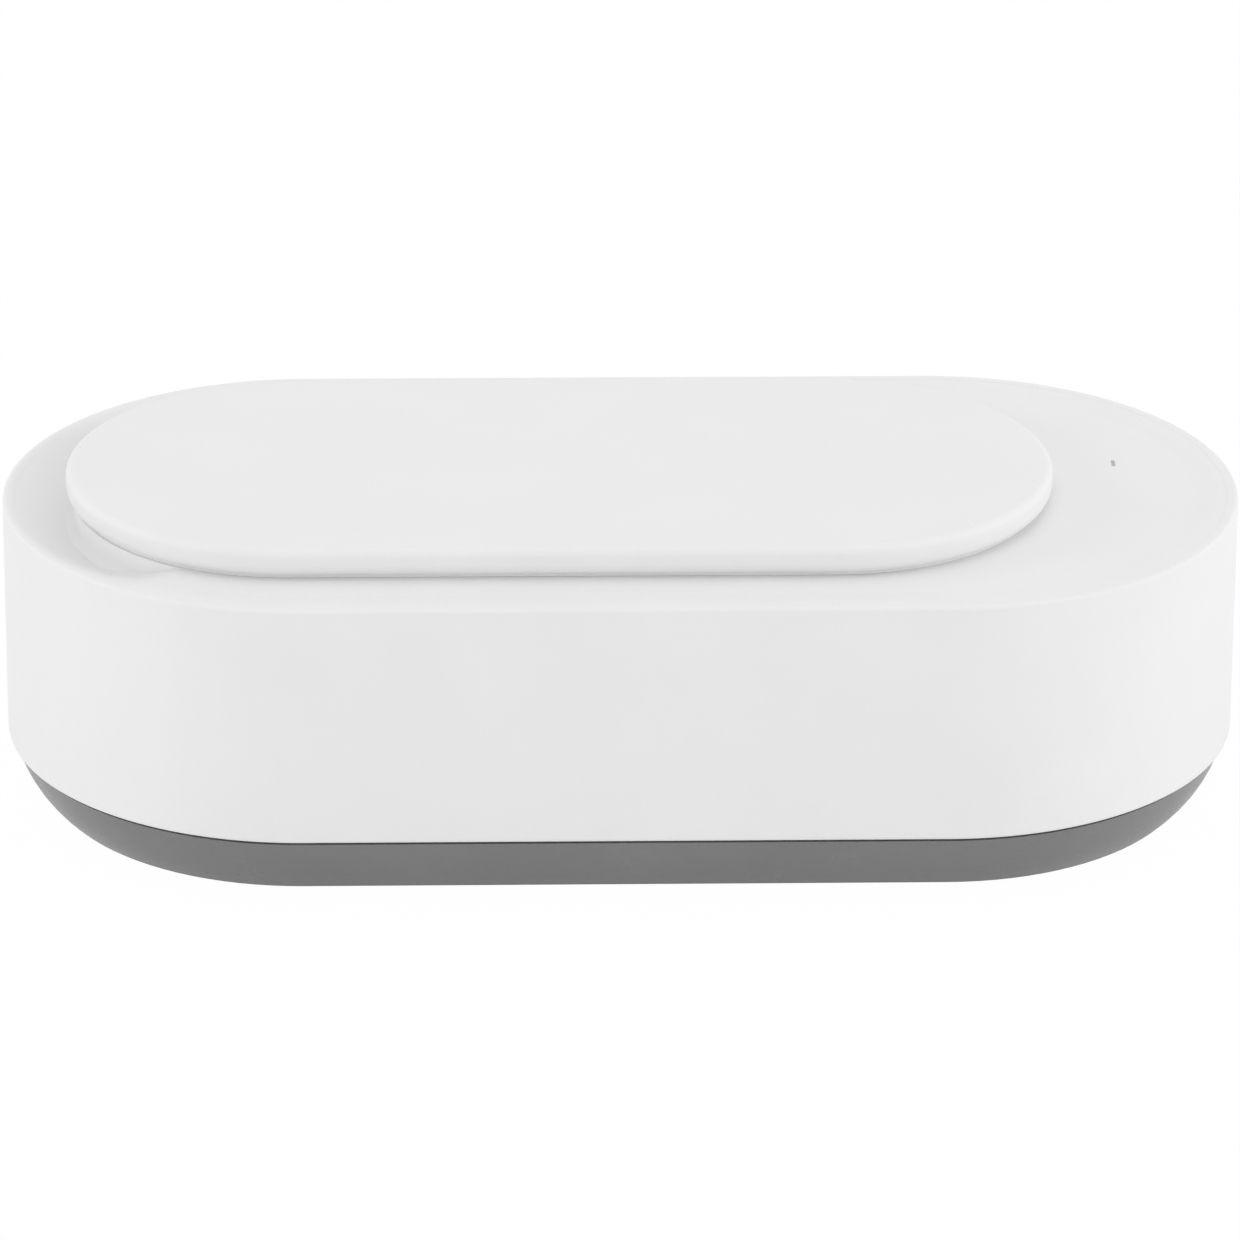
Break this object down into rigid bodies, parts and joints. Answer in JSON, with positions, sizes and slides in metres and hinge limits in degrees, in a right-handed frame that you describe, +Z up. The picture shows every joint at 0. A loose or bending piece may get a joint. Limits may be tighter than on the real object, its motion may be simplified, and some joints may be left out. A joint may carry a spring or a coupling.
{
  "type": "contact lens cleaner",
  "caption": "Oval ultrasonic contact lens cleaner: white case with a rounded rim on a grey tapered base, lift-off lid over steel lens cups, touch key deck at one end.",
  "frame": {"origin": "middle of the footprint, on the plane that the four feet stand on", "axes": "+X along the length, towards the touch key end; -Y is the front; +Z up, the way the lid lifts"},
  "size_m": [0.1, 0.0486, 0.0285],
  "materials": {
    "case_white": "smooth white moulded plastic, satin",
    "base_grey": "fine-grained grey moulded plastic",
    "liner_white": "smooth white moulded plastic",
    "seal_silicone": "translucent white silicone",
    "foot_rubber": "dark grey rubber",
    "cup_steel": "polished drawn stainless steel",
    "screw_steel": "zinc-plated steel",
    "plate_aluminium": "machined aluminium",
    "disc_ceramic": "silvered piezo ceramic",
    "lead_red": "red insulated wire",
    "lead_black": "black insulated wire",
    "board_green": "green circuit board",
    "core_ferrite": "dark ferrite",
    "winding_copper": "enamelled copper wire",
    "film_yellow": "yellow film capacitor case",
    "sleeve_black": "black sleeved can",
    "chip_black": "black moulded package",
    "socket_nylon": "natural nylon",
    "socket_steel": "plated steel shell",
    "battery_foil": "aluminium laminate pouch",
    "pad_foam": "white adhesive foam",
    "electrode_foam": "conductive foam",
    "ribbon_film": "white ribbon film",
    "led_body": "light emitting diode body",
    "light_bar": "smoked light guide"
  },
  "bodies": {
    "case": {"base_cover": "base_grey", "base_screws": "screw_steel", "battery_cell": "battery_foil", "battery_leads": "lead_red", "battery_pad": "pad_foam", "board_screws": "screw_steel", "boost_inductor": "core_ferrite", "cup_gasket_left": "seal_silicone", "cup_gasket_right": "seal_silicone", "drive_transformer_core": "core_ferrite", "drive_transformer_winding": "winding_copper", "driver_chips": "chip_black", "film_capacitor": "film_yellow", "foot_front_left": "foot_rubber", "foot_front_right": "foot_rubber", "foot_rear_left": "foot_rubber", "foot_rear_right": "foot_rubber", "lead_sockets": "socket_nylon", "lens_cup_left": "cup_steel", "lens_cup_right": "cup_steel", "main_board": "board_green", "outer_shell": "case_white", "ribbon_cable": "ribbon_film", "ribbon_connectors": "socket_nylon", "status_led": "led_body", "status_light_pipe": "light_bar", "storage_capacitor": "sleeve_black", "top_deck": "case_white", "touch_board": "board_green", "touch_board_screws": "screw_steel", "touch_electrode": "electrode_foam", "transducer_disc_left": "disc_ceramic", "transducer_disc_right": "disc_ceramic", "transducer_live_leads": "lead_red", "transducer_plate_left": "plate_aluminium", "transducer_plate_right": "plate_aluminium", "transducer_return_leads": "lead_black", "usb_socket_shell": "socket_steel", "usb_socket_tongue": "chip_black"},
    "lid": {"lid_cap": "case_white", "lid_liner": "liner_white", "lid_seal": "seal_silicone", "well_plug_left": "seal_silicone", "well_plug_right": "seal_silicone"}
  },
  "joints": [
    {"name": "lid_lift", "type": "slide", "parent": "case", "child": "lid", "axis": [0, 0, 1], "range_m": [0, 0.045]}
  ]
}
